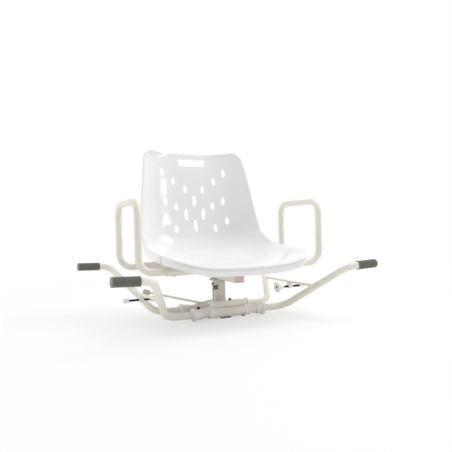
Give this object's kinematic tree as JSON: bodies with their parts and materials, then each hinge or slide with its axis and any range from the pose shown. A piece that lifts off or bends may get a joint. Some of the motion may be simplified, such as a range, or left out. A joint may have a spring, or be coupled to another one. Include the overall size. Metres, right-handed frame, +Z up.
{
  "type": "swivel bath chair",
  "caption": "Bath chair with a moulded bucket seat on a locking swivel, hoop armrests, telescoping tube arms with grips, side adjuster screws and a release lever.",
  "frame": {"origin": "on the floor, midway between the four grips: the bottom centre of the whole object's box", "axes": "+Z up, the sitter faces -Y, +X runs from the release lever's side to the other side"},
  "size_m": [0.7566, 0.51, 0.5186],
  "materials": {
    "powder_coat": "satin powder coat",
    "seat_plastic": "glossy moulded",
    "white_plastic": "moulded",
    "nylon": "moulded",
    "beige_plastic": "moulded",
    "grip_rubber": "ribbed",
    "black_steel": "black oxide",
    "dark_steel": "dark",
    "zinc_steel": "zinc plated",
    "yellow_zinc": "yellow zinc plated"
  },
  "bodies": {
    "base": {"base_plate": "powder_coat", "post": "powder_coat", "front_bar": "powder_coat", "front_bar_left_plug": "white_plastic", "front_bar_right_plug": "white_plastic", "front_bar_bolt": "dark_steel", "front_bar_washer": "yellow_zinc", "front_sleeve": "powder_coat", "rear_sleeve": "powder_coat", "front_inner_tube": "powder_coat", "rear_inner_tube": "powder_coat", "front_left_collar": "white_plastic", "front_right_collar": "white_plastic", "rear_left_collar": "white_plastic", "rear_right_collar": "white_plastic", "front_left_ferrule": "white_plastic", "front_right_ferrule": "white_plastic", "rear_left_ferrule": "white_plastic", "rear_right_ferrule": "white_plastic", "bearing_washer": "nylon", "swivel_spindle": "zinc_steel", "lever_bolt": "dark_steel", "lock_spring": "dark_steel"},
    "seat": {"index_plate": "zinc_steel", "carrier_bar": "powder_coat", "carrier_front_plug": "beige_plastic", "carrier_rear_plug": "beige_plastic", "front_socket_tube": "powder_coat", "rear_socket_tube": "powder_coat", "front_left_armrest_screw": "yellow_zinc", "front_right_armrest_screw": "yellow_zinc", "rear_left_armrest_screw": "yellow_zinc", "rear_right_armrest_screw": "yellow_zinc", "seat_shell": "seat_plastic", "front_left_seat_bolt": "zinc_steel", "front_right_seat_bolt": "zinc_steel", "rear_left_seat_bolt": "zinc_steel", "rear_right_seat_bolt": "zinc_steel"},
    "left_armrest": {"left_armrest": "powder_coat"},
    "right_armrest": {"right_armrest": "powder_coat"},
    "left_frame": {"left_front_arm": "powder_coat", "left_rear_arm": "powder_coat", "left_front_grip": "grip_rubber", "left_rear_grip": "grip_rubber", "left_brace": "powder_coat"},
    "right_frame": {"right_front_arm": "powder_coat", "right_rear_arm": "powder_coat", "right_front_grip": "grip_rubber", "right_rear_grip": "grip_rubber", "right_brace": "powder_coat"},
    "left_pad": {"left_adjuster_pad": "white_plastic"},
    "left_screw": {"left_adjuster_screw": "black_steel", "left_adjuster_knob": "white_plastic"},
    "right_pad": {"right_adjuster_pad": "white_plastic"},
    "right_screw": {"right_adjuster_screw": "black_steel", "right_adjuster_knob": "white_plastic"},
    "lever": {"lever_rod": "powder_coat", "lever_handle": "beige_plastic"},
    "lock": {"lock_pin": "zinc_steel", "link_rod": "dark_steel"}
  },
  "joints": [
    {"name": "seat_swivel", "type": "hinge", "parent": "base", "child": "seat", "pos_m": [0, 0.015, 0.105], "axis": [0, 0, 1], "continuous": true},
    {"name": "left_frame_slide", "type": "slide", "parent": "base", "child": "left_frame", "axis": [-1, 0, 0], "range_m": [-0.006, 0.017]},
    {"name": "right_frame_slide", "type": "slide", "parent": "base", "child": "right_frame", "axis": [1, 0, 0], "range_m": [-0.006, 0.017]},
    {"name": "left_armrest_slide", "type": "slide", "parent": "seat", "child": "left_armrest", "axis": [-1, 0, 0], "range_m": [0, 0.04]},
    {"name": "right_armrest_slide", "type": "slide", "parent": "seat", "child": "right_armrest", "axis": [1, 0, 0], "range_m": [0, 0.04]},
    {"name": "left_adjuster_travel", "type": "slide", "parent": "left_frame", "child": "left_pad", "axis": [-1, 0, 0], "range_m": [-0.02, 0.018]},
    {"name": "left_adjuster_turn", "type": "hinge", "parent": "left_pad", "child": "left_screw", "pos_m": [-0.244, 0, 0.0665], "axis": [-1, 0, 0], "range_deg": [-5762, 5186]},
    {"name": "right_adjuster_travel", "type": "slide", "parent": "right_frame", "child": "right_pad", "axis": [1, 0, 0], "range_m": [-0.02, 0.018]},
    {"name": "right_adjuster_turn", "type": "hinge", "parent": "right_pad", "child": "right_screw", "pos_m": [0.244, 0, 0.0665], "axis": [1, 0, 0], "range_deg": [-5762, 5186]},
    {"name": "lever_turn", "type": "hinge", "parent": "base", "child": "lever", "pos_m": [-0.0715, 0.0076, 0.0265], "axis": [0.2588, 0.9659, 0], "range_deg": [0, 10.1]},
    {"name": "lock_slide", "type": "slide", "parent": "base", "child": "lock", "axis": [0, 0, 1], "range_m": [-0.008, 0], "stiffness_N_per_m": 600, "springref_m": 0.006, "deforming": ["lock_spring"]}
  ],
  "couplings": [
    {"joint": "lock_slide", "follows": "lever_turn", "m_per_rad": -0.045},
    {"joint": "left_adjuster_turn", "follows": "left_adjuster_travel", "rad_per_m": 5026.5},
    {"joint": "right_adjuster_turn", "follows": "right_adjuster_travel", "rad_per_m": 5026.5}
  ]
}
